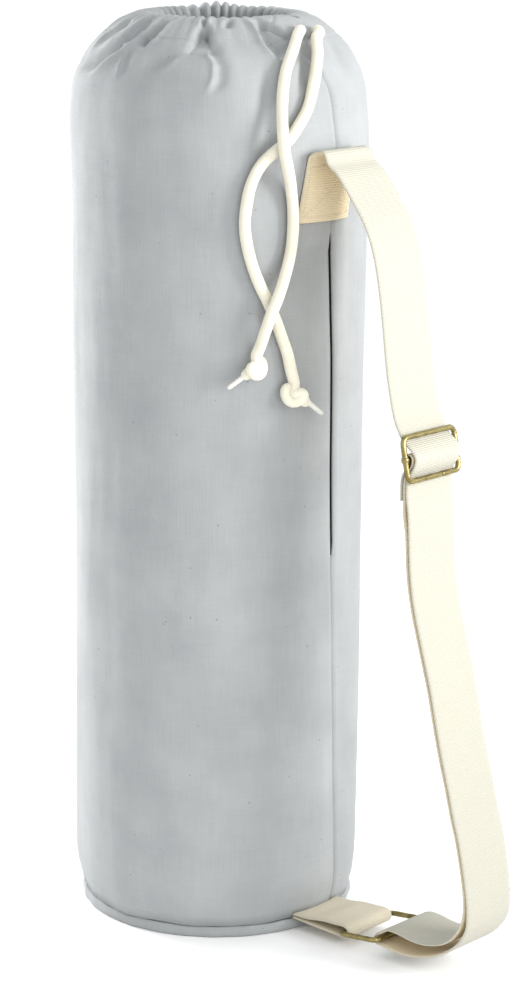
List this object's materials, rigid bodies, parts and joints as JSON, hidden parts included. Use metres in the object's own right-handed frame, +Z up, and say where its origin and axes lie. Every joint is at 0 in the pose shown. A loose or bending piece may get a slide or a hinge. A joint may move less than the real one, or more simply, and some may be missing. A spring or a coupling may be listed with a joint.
{
  "type": "yoga mat bag",
  "caption": "Round-based canvas tube bag for a yoga mat, with a gathered drawcord mouth, a side slit and a webbing carry strap on a wire slider and ring.",
  "frame": {"origin": "centre of the base panel's underside, on the floor it stands on", "axes": "+Z up along the tube, +X towards the side seam and the strap, +Y to the strap's left side seen from outside"},
  "size_m": [0.3649, 0.212, 0.6613],
  "materials": {
    "canvas": "light grey cotton canvas, matt, fine weave with a few dark flecks",
    "webbing": "natural cream cotton webbing, fine ribs across its width",
    "cord": "natural cream braided cotton cord",
    "tip": "thin cord end bound in clear film",
    "brass": "antique brass wire, dark with worn bright edges"
  },
  "bodies": {
    "root": {"bag_body": "canvas", "base_panel": "canvas", "strap": "webbing", "ring_tab": "webbing", "strap_ring": "brass", "slider_frame": "brass", "slider_bar": "brass", "drawcord_loop": "cord", "drawcord_left": "cord", "drawcord_right": "cord", "knot_left": "cord", "knot_right": "cord", "tip_left": "tip", "tip_right": "tip"}
  },
  "joints": []
}
